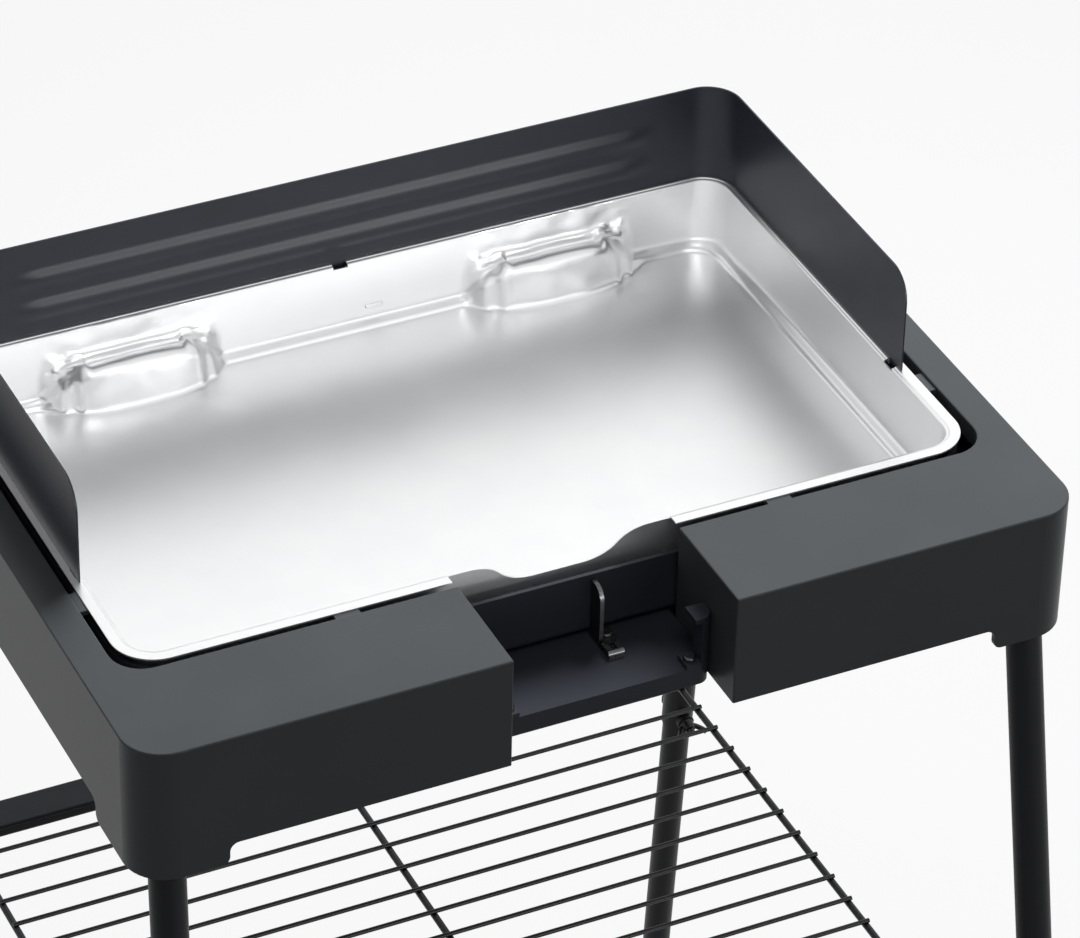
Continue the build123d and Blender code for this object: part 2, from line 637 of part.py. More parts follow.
def tray_dip():
    """The dip of the tray's front wall, seen from the front, with soft turns."""
    low = RIM_TOP - DIP_DEPTH
    half_top = DIP_TOP_WIDTH / 2
    half_low = DIP_FLOOR_WIDTH / 2
    wide = half_top + 2 * DIP_RADIUS
    above = RIM_TOP + DIP_DEPTH
    dip = Polygon(
        (-half_low, low), (half_low, low), (half_top, RIM_TOP), (wide, RIM_TOP),
        (wide, above), (-wide, above), (-wide, RIM_TOP), (-half_top, RIM_TOP),
        align=None,
    )
    turns = [v for v in dip.vertices() if abs(v.X) < half_top + DIP_RADIUS]
    return fillet(turns, DIP_RADIUS)


def shield_line(grow):
    """The wind shield's line seen from above, on the middle of the tray's rim."""
    inset = SHIELD_RIM_INSET - grow
    outline = RectangleRounded(TRAY_WIDTH - 2 * inset, TRAY_LENGTH - 2 * inset, RIM_CORNER - inset)
    return Pos(0, TRAY_MID) * outline


def tang_blocks(grow=0.0):
    """The wind shield's tangs: one at the back, one near the end of each wing."""
    half = TANG_WIDTH / 2 + grow
    thick = SHIELD_SHEET / 2 + grow
    low = RIM_UNDER - TANG_DEPTH
    top = RIM_TOP + SHIELD_SHEET
    back = TRAY_BACK - SHIELD_RIM_INSET
    side_x = TRAY_WIDTH / 2 - SHIELD_RIM_INSET
    side_y = back - SHIELD_WING_LENGTH + TANG_FROM_WING_END + TANG_WIDTH / 2
    tangs = [block((-half, back - thick, low), (half, back + thick, top))]
    for side in (-1, 1):
        x = side * side_x
        tangs.append(block((x - thick, side_y - half, low), (x + thick, side_y + half, top)))
    return tangs


def wind_shield():
    half = SHIELD_SHEET / 2
    top = RIM_TOP + SHIELD_HEIGHT
    back = TRAY_BACK - SHIELD_RIM_INSET
    wing_end = back - SHIELD_WING_LENGTH
    shield = prism(shield_line(half) - shield_line(-half), RIM_TOP, top)
    shield -= block((-TRAY_WIDTH, TRAY_FRONT - PAST, RIM_TOP - PAST), (TRAY_WIDTH, wing_end, top + PAST))
    noses = shield.edges().filter_by(Axis.X).group_by(Axis.Z)[-1].group_by(Axis.Y)[0]
    shield = fillet(noses, SHIELD_NOSE_RADIUS)
    bead_half = TRAY_WIDTH / 2 - RIM_CORNER - BEAD_END_GAP
    sink = BEAD_RADIUS - BEAD_RISE
    for height in BEAD_HEIGHTS:
        start = Vector(-bead_half, back - half + sink, RIM_TOP + height)
        end = Vector(bead_half, back - half + sink, RIM_TOP + height)
        front_only = block((-TRAY_WIDTH, back - TRAY_LENGTH, RIM_TOP), (TRAY_WIDTH, back, top))
        shield += bead(start, end, BEAD_RADIUS) & front_only
        shield -= bead(start, end, BEAD_RADIUS - SHIELD_SHEET)
    for tang in tang_blocks():
        shield += tang
    return shield


def bead(start, end, radius):
    """A bar with round ends, which presses a bead into a sheet."""
    return rod(start, end, radius) + Pos(*start) * Sphere(radius) + Pos(*end) * Sphere(radius)


def leg_bores(side, end):
    """The holes of a leg's tubes: for its bolt, its lock screw and its crossbar's screw."""
    inward_y = leg_axes(side, end)[1]
    middle = bolt_middle(side, end)
    reach = inward_y * (UPPER_RADIUS + PAST)
    bores = rod(middle - reach, middle + reach, BOLT_RADIUS + BOLT_HOLE_FIT)
    seat, outward = lock_screw_place(side, end)
    bores += screw_hole(seat, outward)
    bar = leg_point(side, end, CROSSBAR_HEIGHT)
    across = Vector(UPPER_RADIUS + PAST, 0, 0)
    return bores + rod(bar - across, bar + across, SCREW_RADIUS + BOLT_HOLE_FIT)


def upper_leg(side, end):
    top = leg_point(side, end, SOCKET_END)
    bottom = leg_point(side, end, UPPER_LEG_END)
    return tube(bottom, top, UPPER_RADIUS, UPPER_RADIUS - TUBE_WALL) - leg_bores(side, end)


def lower_leg(side, end):
    top = leg_point(side, end, UPPER_LEG_END + PLUG_DEPTH)
    bottom = leg_point(side, end, FOOT_PAD)
    return tube(bottom, top, LOWER_TUBE / 2, LOWER_TUBE / 2 - TUBE_WALL) - leg_bores(side, end)


def foot_cap(side, end):
    outer = LOWER_TUBE / 2 + FOOT_WALL
    under = leg_point(side, end, -FOOT_HEIGHT)
    cap = rod(under, leg_point(side, end, FOOT_HEIGHT), outer)
    cap = fillet(cap.edges().sort_by(Axis.Z)[-1], FOOT_EDGE)
    ground = leg_point(side, end, 0)
    size = 4 * FOOT_HEIGHT
    cap -= Pos(ground.X, ground.Y, 0) * Box(size, size, size, align=BELOW)
    cap = fillet(cap.faces().sort_by(Axis.Z)[0].edges(), FOOT_EDGE)
    mouth = leg_point(side, end, FOOT_HEIGHT + PAST)
    return cap - rod(leg_point(side, end, FOOT_PAD), mouth, LOWER_TUBE / 2 + FOOT_FIT)


def leg_bolt(side, end):
    inward_y = leg_axes(side, end)[1]
    middle = bolt_middle(side, end)
    head = Cylinder(BOLT_HEAD_RADIUS, BOLT_HEAD_HEIGHT, align=ON_BASE)
    head = fillet(head.edges().sort_by(Axis.Z)[-1], BOLT_HEAD_HEIGHT / 2)
    seat = Plane(origin=middle - inward_y * SADDLE_FACE, z_dir=inward_y * -1)
    shank = rod(middle - inward_y * SADDLE_FACE, middle + inward_y * (NUT_SEAT + BOLT_PROUD), BOLT_RADIUS)
    return seat * head + shank


def saddle_pair(side, end):
    """The two washers of a leg bolt, hollowed to the tube on one face."""
    inward_y, up = leg_axes(side, end)[1:]
    middle = bolt_middle(side, end)
    reach = inward_y * SADDLE_FACE
    pair = rod(middle - reach, middle + reach, SADDLE_RADIUS)
    pair -= rod(middle - up * SADDLE_FACE, middle + up * SADDLE_FACE, UPPER_RADIUS + SADDLE_FIT)
    return pair - rod(middle - reach, middle + reach, BOLT_RADIUS + BOLT_HOLE_FIT)


def wing_nut(side, end):
    inward_x, inward_y = leg_axes(side, end)[:2]
    hub = Cone(NUT_BASE_RADIUS, NUT_TOP_RADIUS, NUT_HEIGHT, align=ON_BASE)
    half = WING_SPAN / 2
    wings = Polygon(
        (0, WING_FOOT), (half - WING_SLANT, WING_FOOT + WING_SLANT), (half, WING_RISE),
        (half - WING_TIP, WING_RISE), (0, NUT_HEIGHT - WING_FOOT), (WING_TIP - half, WING_RISE),
        (-half, WING_RISE), (WING_SLANT - half, WING_FOOT + WING_SLANT),
        align=None,
    )
    tips = [v for v in wings.vertices() if abs(v.X) > WING_TIP_RADIUS]
    wings = extrude(Plane.XZ * fillet(tips, WING_TIP_RADIUS), amount=WING_THICKNESS / 2, both=True)
    nut = hub + wings - Cylinder(BOLT_RADIUS + NUT_FIT, 2 * WING_RISE)
    seat = bolt_middle(side, end) + inward_y * NUT_SEAT
    return Plane(origin=seat, x_dir=inward_x, z_dir=inward_y) * nut


def flat_bar(end, start_x, end_x, shrink):
    """A stretch of a crossbar's section along X, smaller by shrink all round."""
    section = RectangleRounded(BAR_DEPTH - 2 * shrink, BAR_THICKNESS - 2 * shrink, BAR_CORNER - shrink)
    middle = leg_point(1, end, CROSSBAR_HEIGHT)
    return extrude(Plane.YZ.offset(start_x) * Pos(middle.Y, middle.Z) * section, amount=end_x - start_x)


def crossbar(end):
    half = leg_point(1, end, CROSSBAR_HEIGHT).X - UPPER_RADIUS + BAR_WRAP
    bar = flat_bar(end, -half, half, 0) - flat_bar(end, -half, half, TUBE_WALL)
    reach = 2 * UPPER_RADIUS
    for side in (-1, 1):
        above = leg_point(side, end, CROSSBAR_HEIGHT + reach)
        below = leg_point(side, end, CROSSBAR_HEIGHT - reach)
        bar -= rod(below, above, UPPER_RADIUS + COPE_GAP)
    return bar


def crossbar_plug(side, end):
    inward = Vector(-side, 0, 0)
    start = leg_point(side, end, CROSSBAR_HEIGHT) + inward * (UPPER_RADIUS + PLUG_INSET)
    low_x, high_x = sorted((start.X, start.X - side * PLUG_LENGTH))
    plug = flat_bar(end, low_x, high_x, TUBE_WALL + PLUG_FIT)
    return plug - rod(start, start + inward * PLUG_LENGTH, SCREW_RADIUS + SCREW_FIT)


def crossbar_screw(side, end):
    outward = Vector(side, 0, 0)
    seat = leg_point(side, end, CROSSBAR_HEIGHT) + outward * (UPPER_RADIUS + BAR_SCREW_SEAT)
    length = 2 * UPPER_RADIUS + BAR_SCREW_SEAT + PLUG_INSET + BAR_SCREW_GRIP
    return screw(seat, outward, length=length)


def wire_shelf():
    side_x = leg_point(1, 1, SHELF_ROD_HEIGHT).X - UPPER_RADIUS - SHELF_SIDE_GAP
    bar_y = leg_point(1, 1, CROSSBAR_HEIGHT).Y
    room = 2 * (bar_y - BAR_DEPTH / 2 - SHELF_END_GAP)
    gaps = int(room / SHELF_PITCH)
    hook_y = bar_y + BAR_DEPTH / 2 + HOOK_GAP + SHELF_WIRE_RADIUS
    low = SHELF_WIRE_HEIGHT - HOOK_DROP
    shelf = None
    for x in (SHELF_ROD_OVERHANG - side_x, 0, side_x - SHELF_ROD_OVERHANG):
        route = FilletPolyline(
            (x, -hook_y, low), (x, -hook_y, SHELF_WIRE_HEIGHT),
            (x, hook_y, SHELF_WIRE_HEIGHT), (x, hook_y, low),
            radius=HOOK_RADIUS,
        )
        wire = sweep(Plane(origin=route @ 0, z_dir=route % 0) * Circle(SHELF_WIRE_RADIUS), path=route)
        shelf = wire if shelf is None else shelf + wire
    rods = []
    for step in range(gaps + 1):
        y = (step - gaps / 2) * SHELF_PITCH
        rods.append(rod((-side_x, y, SHELF_ROD_HEIGHT), (side_x, y, SHELF_ROD_HEIGHT), SHELF_ROD_RADIUS))
    return shelf + rods


def floor_screws():
    down = (0, 0, -1)
    drop = Vector(0, 0, -BAY_FLANGE_THICKNESS)
    screws = [screw(place + drop, down) for place in flange_screw_places()]
    drop = Vector(0, 0, -BAY_FLOOR_WALL)
    screws += [screw(place + drop, down) for place in well_foot_places()]
    through = GUIDE_FOOT_THICKNESS + BAY_FLOOR_WALL
    screws += [screw(guide_screw_place(side), (0, 0, 1), length=through) for side in SIDES.values()]
    return group(screws)


def well_screws():
    drop = Vector(0, 0, -COLLAR_THICKNESS)
    return group(screw(place + drop, (0, 0, -1)) for place in well_screw_places())


nodes = {
    "housing_shell": housing_shell(),
    "tray_well": tray_well(),
    "bay_floor": bay_floor(),
    "interlock_blade": interlock_blade(),
    "blade_screw": screw(blade_screw_place(), (0, 0, 1), length=BLADE_THICKNESS + BAY_FLOOR_WALL),
    "catch_loop": catch_loop(),
    "water_tray": water_tray(),
    "wind_shield": wind_shield(),
    "leg_bolts": group(leg_bolt(side, end) for name, side, end in LEGS),
    "saddle_washers": group(saddle_pair(side, end) for name, side, end in LEGS),
    "leg_lock_screws": group(screw(*lock_screw_place(side, end)) for name, side, end in LEGS),
    "crossbar_plugs": group(crossbar_plug(side, end) for name, side, end in LEGS),
    "crossbar_screws": group(crossbar_screw(side, end) for name, side, end in LEGS),
    "well_screws": well_screws(),
    "floor_screws": floor_screws(),
    "wire_shelf": wire_shelf(),
}
for side in SIDES:
    nodes[f"bay_guide_{side}"] = bay_guide(SIDES[side])
for end in ENDS:
    nodes[f"crossbar_{end}"] = crossbar(ENDS[end])
for name, side, end in LEGS:
    nodes[f"upper_leg_{name}"] = upper_leg(side, end)
    nodes[f"lower_leg_{name}"] = lower_leg(side, end)
    nodes[f"foot_cap_{name}"] = foot_cap(side, end)
    nodes[f"wing_nut_{name}"] = wing_nut(side, end)

os.makedirs("parts", exist_ok=True)
for node, shape in nodes.items():
    export_step(shape, f"parts/{node}.step")
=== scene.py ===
import json
import math

import bmesh
import bpy
from mathutils import Matrix, Vector, noise


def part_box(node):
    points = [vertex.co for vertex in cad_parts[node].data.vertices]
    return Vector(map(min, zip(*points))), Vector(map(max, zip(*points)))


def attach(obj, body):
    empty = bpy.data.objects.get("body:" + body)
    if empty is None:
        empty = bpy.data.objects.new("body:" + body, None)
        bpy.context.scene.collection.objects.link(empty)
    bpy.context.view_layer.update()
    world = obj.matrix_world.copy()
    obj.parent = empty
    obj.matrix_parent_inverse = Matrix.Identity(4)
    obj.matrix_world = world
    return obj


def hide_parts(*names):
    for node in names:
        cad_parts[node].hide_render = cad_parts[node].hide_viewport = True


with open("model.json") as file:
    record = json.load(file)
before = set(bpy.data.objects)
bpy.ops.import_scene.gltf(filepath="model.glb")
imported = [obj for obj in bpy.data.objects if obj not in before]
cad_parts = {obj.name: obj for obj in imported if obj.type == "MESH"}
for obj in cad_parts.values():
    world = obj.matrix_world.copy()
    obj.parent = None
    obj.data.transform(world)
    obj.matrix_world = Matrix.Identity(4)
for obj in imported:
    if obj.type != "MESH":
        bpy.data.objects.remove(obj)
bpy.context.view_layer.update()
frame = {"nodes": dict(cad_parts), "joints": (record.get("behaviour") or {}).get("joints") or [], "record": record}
cad = frame["nodes"]

MM = 0.001
WHITE = (1.0, 1.0, 1.0, 1.0)

# Camera, fitted to the photograph: it looks down at the front left of the body
CAMERA_AZIMUTH = -25.96
CAMERA_ELEVATION = 35.8
CAMERA_ROLL = 1.39
CAMERA_DISTANCE = 3047.3 * MM
CAMERA_LENS = 177.34
CAMERA_SENSOR = 36.0
CAMERA_AIM_X = 20.5 * MM
CAMERA_AIM_Y = -58.4 * MM

# Stage: the floor's half width in metres, its glow and its paleness where it is seen directly, its
# shade where it only throws light back, and the light of the surround
FLOOR_HALF = 12.0
FLOOR_GLOW = 0.78
FLOOR_PALE = 0.9
FLOOR_SHADE = 0.22
SURROUND_LIGHT = 0.06

# Lamps: name, place and size in metres, watts, whether matt and whether shiny surfaces see them
LAMP_AIM = (0, 0, 0.89)
LAMPS = (
    ("key_softbox", (1.1, 1.35, 2.9), (1.4, 1.4), 88, True, False),
    ("front_softbox", (-0.3, -1.5, 3.0), (0.8, 0.8), 7, True, True),
    ("edge_strip", (1.1, -2.25, 1.0), (2.0, 0.16), 36, False, True),
    ("back_reflector", (1.6, 2.8, 2.7), (3.0, 2.0), 3, False, True),
    ("front_reflector", (1.0, -2.2, 2.2), (2.0, 1.0), 5, False, True),
)

# Bodies of the frame that carry the new pieces, besides the wing nuts
TRAY = "tray"
SHIELD = "shield"

# Edges that turn by more than this stay sharp
SHARP_ANGLE = math.radians(38)

# Water tray, in millimetres: insets from the rim's edge, depths from its top
RIM_CORNER = 26.0
RIM_WIDTH = 8.5
RIM_SECTION = ((0.0, 0.0), (3.7, 0.0), (5.3, 0.0), (6.2, 0.0), (6.7, 0.5), (7.5, 0.6), (8.1, 0.75))
SHEET = 1.0
MOUTH_DROP = 1.2
WALL_DRAFT = 4.0
TRAY_DEPTH = 45.0
FLOOR_CORNER = 20.0
FLOOR_START = 50.0
FLOOR_GAP = 2.0
CORNER_STEPS = 12

# The ledge at the wall's foot: the straight wall ends above it, its line is inset from the foot and
# depth from the ledge, and its run-out is inset from the foot and height over the floor
LEDGE_DEPTH = 42.0
LEDGE_START = 3.4
LEDGE_LINE = ((0.5, -1.2), (2.2, -0.2), (3.8, 0.0), (5.4, 0.2), (6.6, 1.0))
LEDGE_RUN_OUT = ((7.6, 0.6), (9.4, 0.1), (12.5, 0.0))
LEDGE_END = 18.0

# The dip in the tray's front wall, and the gap it leaves in the rim
FLANGE_GAP = 69.5
DIP_ROOM = 56.0
DIP_TOP = 88.0
DIP_LOW = 58.0
DIP_DEPTH = 16.5
DIP_BOTTOM = 36.0

# The two bosses in the tray's back wall: their front is inset from the foot and depth from the top,
# and their foot is inset from the foot and height over the floor
BOSS_SPREAD = 138.0
BOSS_ROOM = 64.0
BOSS_WIDTH = 114.0
BOSS_END = 15.0
BOSS_BOW = 0.16
BOSS_HEIGHT = 28.0
BOSS_FOOT = 36.8
BOSS_TOP_SOFT = 1.5
BOSS_TOP_WIDTH = 6.4
BOSS_BROW = (3.8, 3.0)
BOSS_FRONT = ((-4.2, 9.0), (-2.9, 16.0), (-1.8, 22.0))
BOSS_FOOT_LINE = ((-0.8, 3.0), (0.4, 1.3), (1.8, 0.5), (3.4, 0.1), (5.7, 0.0), (9.2, 0.0))

# The trough in a boss's top, and the low lip in front of it
TROUGH_BACK = 12.5
TROUGH_WIDTH = 8.2
TROUGH_HALF = 31.0
TROUGH_DEPTH = 5.2
TROUGH_LAND = 1.9
TROUGH_EDGE = 0.1
TROUGH_BACK_DROP = 0.2
TROUGH_SIDE = 0.7
TROUGH_ROUND = 1.5
TROUGH_FLOOR = 2.1
TROUGH_END = 1.5
LIP_WIDTH = 1.7
LIP_DROP = 0.4
LIP_SHARE = 0.6

# The posts at the trough's ends and the shoulders past them: how deep their trough and how high
# their lip is, and where along the boss a post gives way to the shoulder
POST_TROUGH = 0.8
POST_RISE = 2.6
POST_START = 4.0
POST_END = 10.0
SHOULDER_TROUGH = 1.0
SHOULDER_RISE = -0.6

# The bosses' crumpled sheet: fine crumples, broad waves, and folds that hang below the shoulders
CRUMPLE_ALONG = 9.0
CRUMPLE_ACROSS = 8.0
CRUMPLE_IN = 0.5
CRUMPLE_DOWN = 0.4
CRUMPLE_LEAST = 0.35
WAVE_ALONG = 17.0
WAVE_DOWN = 13.0
WAVE_SEED = 7.3
WAVE_DEPTH = 0.8
FOLD_DEPTH = 2.5
FOLD_LENGTH = 16.0
FOLD_FADE = 3.0

# The notches in the rim for the shield's tangs
NOTCH_HALF = 4.8
NOTCH_START = 3.6
NOTCH_END = 8.7
NOTCH_DROP = 2.4
NOTCH_SIDE_Y = -42.8

# The fill mark: the shares of its rise that are rounded off and that lift it out of the wall
MARK_X = 21.0
MARK_DEPTH = 33.0
MARK_WIDTH = 11.5
MARK_HEIGHT = 2.8
MARK_RISE = 1.6
MARK_SOFT = 0.4
MARK_LIFT = 0.3

# Wind shield, in millimetres
SHIELD_INSET = 4.5
SHIELD_HEIGHT = 65.0
SHIELD_STEPS = 44
WING_END_Y = -52.3
NOSE_RADIUS = 18.0
BEADS = (17.5, 38.5)
BEAD_HALF = 8.5
BEAD_RISE = 2.3
BEAD_REACH = 215.0
BEAD_FADE = 26.0
TANG_HALF = 4.5
TANG_DEPTH = 6.0

# Wing nuts, in millimetres from the nut's seat
NUT_BORE = 2.6
NUT_BASE = 5.0
NUT_TOP = 4.0
NUT_HEIGHT = 6.5
NUT_FOOT = 0.9
NUT_NECK = 1.4
NUT_NECK_IN = 0.4
NUT_EDGE = 0.5
NUT_SIDES = 32
ARM_START = 2.8
ARM_REACH = 9.4
ARM_RISE = 10.2
ARM_CURVE = 1.7
ARM_LEAN = 0.75
ARM_DIP = 0.35
ARM_HEIGHT = 2.9
ARM_HEIGHT_LOSS = 1.0
ARM_HALF = 1.25
ARM_HALF_GAIN = 0.35
ARM_STEPS = 8
ARM_SIDES = 16
BALL_RADIUS = 2.2
BALL_OUT = 0.5
BALL_UP = 0.8
BALL_SHARES = (0.0, 0.35, 0.65, 0.85, 0.97)

# Two places closer than this are the same, in millimetres, and two directions this alike are one
SAME = 0.001
SAME_WAY = 0.999


def colour(code):
    """An sRGB hex colour as linear red, green, blue and alpha."""
    parts = [int(code[i:i + 2], 16) / 255 for i in (1, 3, 5)]
    linear = [c / 12.92 if c <= 0.04045 else ((c + 0.055) / 1.055) ** 2.4 for c in parts]
    return (*linear, 1.0)


def per_metre(size_mm):
    """The texture scale that repeats a pattern about every size_mm millimetres."""
    return 1.0 / (size_mm * MM)


def add(tree, kind, settings, links=()):
    """Add a shader node, set its fields or sockets, and link outputs to its sockets."""
    node = tree.nodes.new(kind)
    for key, value in settings.items():
        if key in node.inputs:
            node.inputs[key].default_value = value
        else:
            setattr(node, key, value)
    for socket, output in links:
        tree.links.new(output, node.inputs[socket])
    return node


# Materials


def new_material(name, **surface):
    """A material with a Principled surface, its node tree and its Object coordinates."""
    made = bpy.data.materials.new(name)
    made.use_nodes = True
    tree = made.node_tree
    shader = tree.nodes["Principled BSDF"]
    for socket, value in surface.items():
        shader.inputs[socket.replace("_", " ")].default_value = value
    place = add(tree, "ShaderNodeTexCoord", {}).outputs["Object"]
    return made, tree, shader, place


def clouds(tree, place, size_mm, detail):
    """A soft random pattern of about size_mm millimetres."""
    settings = {"Scale": per_metre(size_mm), "Detail": detail}
    return add(tree, "ShaderNodeTexNoise", settings, [("Vector", place)]).outputs["Fac"]


def set_colour(tree, shader, pattern, dark, light):
    """Colour a surface from dark to light after a pattern."""
    tint = add(tree, "ShaderNodeValToRGB", {}, [("Fac", pattern)])
    for element, stop, shade in zip(tint.color_ramp.elements, (0.3, 0.7), (dark, light)):
        element.position = stop
        element.color = colour(shade)
    tree.links.new(tint.outputs["Color"], shader.inputs["Base Color"])


def set_roughness(tree, shader, pattern, low, high):
    """Make a surface rougher after a pattern."""
    gloss = add(tree, "ShaderNodeMapRange", {"To Min": low, "To Max": high}, [("Value", pattern)])
    tree.links.new(gloss.outputs["Result"], shader.inputs["Roughness"])


def relief(tree, pattern, strength, height_mm, links=()):
    """Bumps after a pattern, given as a normal. Links may name the normal that they stand on."""
    settings = {"Strength": strength, "Distance": height_mm * MM}
    return add(tree, "ShaderNodeBump", settings, [("Height", pattern), *links]).outputs["Normal"]


def moulded_abs(name, dark, light, grain_mm, rough, level):
    """ABS from a spark-eroded mould: a fine even grain that kills the gloss, with faint
    flow clouds in its colour. The grain is drawn coarser than the real 0.1 mm so that it shows."""
    made, tree, shader, place = new_material(name, Specular_IOR_Level=level)
    set_colour(tree, shader, clouds(tree, place, size_mm=70, detail=3.0), dark, light)
    grain = clouds(tree, place, grain_mm, detail=2.0)
    set_roughness(tree, shader, grain, rough - 0.06, rough + 0.06)
    tree.links.new(relief(tree, grain, strength=0.12, height_mm=0.15), shader.inputs["Normal"])
    return made


def coated_steel(name, dark, light, peel_mm, rough, level):
    """Steel with a baked powder coat: satin, with the soft orange peel of the melted powder."""
    made, tree, shader, place = new_material(name, Specular_IOR_Level=level)
    set_colour(tree, shader, clouds(tree, place, size_mm=40, detail=2.0), dark, light)
    peel = clouds(tree, place, peel_mm, detail=1.0)
    set_roughness(tree, shader, peel, rough - 0.05, rough + 0.05)
    tree.links.new(relief(tree, peel, strength=0.1, height_mm=0.2), shader.inputs["Normal"])
    return made


def pressed_aluminium():
    """Aluminium sheet, deep drawn and left bare: bright and satin, with a faint drawing haze,
    soft ripples where the sheet was stretched, and a very fine grain."""
    made, tree, shader, place = new_material("pressed_aluminium", Metallic=0.8)
    haze = clouds(tree, place, size_mm=60, detail=3.0)
    set_colour(tree, shader, haze, "#F0F1F2", "#F5F6F6")
    set_roughness(tree, shader, haze, low=0.3, high=0.36)
    ripple = clouds(tree, place, size_mm=45, detail=1.0)
    grain = clouds(tree, place, size_mm=1.2, detail=2.0)
    soft = relief(tree, ripple, strength=0.1, height_mm=0.3)
    fine = relief(tree, grain, strength=0.03, height_mm=0.1, links=[("Normal", soft)])
    tree.links.new(fine, shader.inputs["Normal"])
    return made


def bare_steel(name, dark, light, rough):
    """Small steel pieces, cold formed and plated, with a fine uneven sheen. Their greys are given darker than
    bright steel, partly as painted shade.
    """
    made, tree, shader, place = new_material(name, Metallic=1.0)
    sheen = clouds(tree, place, size_mm=1.5, detail=3.0)
    set_colour(tree, shader, sheen, dark, light)
    set_roughness(tree, shader, sheen, rough - 0.08, rough + 0.08)
    return made


FINISHES = {
    "body_plastic": moulded_abs("anthracite_abs", "#53575A", "#585C5F", 0.9, 0.36, 0.1),
    "bay_plastic": moulded_abs("black_abs", "#3C3F46", "#41444C", 0.9, 0.38, 0.1),
    "tray_aluminium": pressed_aluminium(),
    "shield_enamel": coated_steel("blue_black_enamel", "#30333E", "#353844", 1.6, 0.38, 0.3),
    "leg_powder_coat": coated_steel("black_powder_coat", "#191B1F", "#1F2125", 1.4, 0.4, 0.12),
    "shelf_wire": coated_steel("black_coated_wire", "#202224", "#28292C", 1.2, 0.42, 0.25),
    "foot_plastic": moulded_abs("black_foot_rubber", "#18191A", "#1F2021", 1.0, 0.6, 0.2),
    "black_hardware": coated_steel("blackened_steel", "#16171A", "#1D1E20", 0.8, 0.35, 0.35),
    "fitting_plastic": moulded_abs("black_nylon", "#18191A", "#1F2021", 0.9, 0.5, 0.25),
    # The blade and catch in the bay and the screws get greys far below bright steel: this dark is partly painted
    # shade for the dim bay where they sit.
    "bay_steel": bare_steel("spring_steel_shade_darkened", "#4E4F51", "#636466", 0.34),
    "screw_steel": bare_steel("zinc_plated_steel_shade_darkened", "#3E3F42", "#505255", 0.38),
}

for part in frame["record"]["subparts"]:
    solid = cad[part["node"]]
    solid.data.materials.clear()
    solid.data.materials.append(FINISHES[part["material_slot"]])


# Tools for the pieces

tray_box = [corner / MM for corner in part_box("water_tray")]
tray_middle = (tray_box[0] + tray_box[1]) / 2
tray_half = Vector(((tray_box[1].x - tray_box[0].x) / 2, (tray_box[1].y - tray_box[0].y) / 2))
wall_slope = math.tan(math.radians(WALL_DRAFT))


def smooth_step(low, high, value):
    """A smooth share, from 0 at low to 1 at high."""
    share = min(max((value - low) / (high - low), 0.0), 1.0)
    return share * share * (3.0 - 2.0 * share)


def soften(points, rounds):
    """Round off a line of points by cutting its corners. Its two ends stay."""
    for step in range(rounds):
        cut = [points[0]]
        for a, b in zip(points, points[1:]):
            cut += [a.lerp(b, 0.25), a.lerp(b, 0.75)]
        points = cut + [points[-1]]
    return points


def height_on(line, across):
    """The height of a line of points, which run from left to right, at a place across."""
    for a, b in zip(line, line[1:]):
        if a.x <= across <= b.x:
            return a.y + (b.y - a.y) * (across - a.x) / (b.x - a.x)
    return line[-1].y


def places(start, *stretches):
    """Places along a side. Each stretch is its end and the number of steps up to it."""
    made = [start]
    for end, steps in stretches:
        made += [start + (end - start) * (step + 1) / steps for step in range(steps)]
        start = end
    return made


def rim_loop(form, half, corner, columns, corner_steps):
    """A rounded rectangle of edges about the origin. The columns give the places of its points along
    the front, the back and the two sides. Each point keeps its share of the straight part and its
    outward direction, from which any ring of the same columns can be placed."""
    core = half - Vector((corner, corner))
    bmesh.ops.create_grid(form, x_segments=1, y_segments=1, size=1.0)
    bmesh.ops.scale(form, vec=(half.x, half.y, 1.0), verts=form.verts)
    bmesh.ops.bevel(form, geom=form.verts[:], offset=corner, affect="VERTICES", segments=corner_steps,
                    profile=0.5, material=-1)
    bmesh.ops.delete(form, geom=form.faces[:], context="FACES_ONLY")
    runs = {"front": [], "back": [], "side": []}
    for edge in form.edges:
        a, b = (v.co for v in edge.verts)
        if abs(a.y - b.y) < SAME and abs(abs(a.y) - half.y) < SAME:
            runs["front" if a.y < 0 else "back"].append(edge)
        elif abs(a.x - b.x) < SAME and abs(abs(a.x) - half.x) < SAME:
            runs["side"].append(edge)
    for name, edges in runs.items():
        bmesh.ops.subdivide_edges(form, edges=edges, cuts=len(columns[name]) - 2)

    share = form.verts.layers.float_vector.new("share")
    outward = form.verts.layers.float_vector.new("outward")
    for v in form.verts:
        inner = Vector((min(max(v.co.x, -core.x), core.x), min(max(v.co.y, -core.y), core.y), 0.0))
        v[outward] = (v.co - inner).normalized()
        x, y = inner.x, inner.y
        if abs(v[outward].y) > SAME_WAY:
            along = columns["front" if v.co.y < 0 else "back"]
            x = along[round((x / core.x + 1.0) / 2.0 * (len(along) - 1))]
        elif abs(v[outward].x) > SAME_WAY:
            along = columns["side"]
            y = along[round((y / core.y + 1.0) / 2.0 * (len(along) - 1))]
        v[share] = (x / core.x, y / core.y, 0.0)
    return form.edges[:], share, outward


def extrude_ring(form, edges):
    """Extrude a chain of edges. The new chain's edges and points come back."""
    made = bmesh.ops.extrude_edge_only(form, edges=edges)["geom"]
    points = [part for part in made if isinstance(part, bmesh.types.BMVert)]
    known = set(points)
    chain = [part for part in made if isinstance(part, bmesh.types.BMEdge) and known.issuperset(part.verts)]
    return chain, points


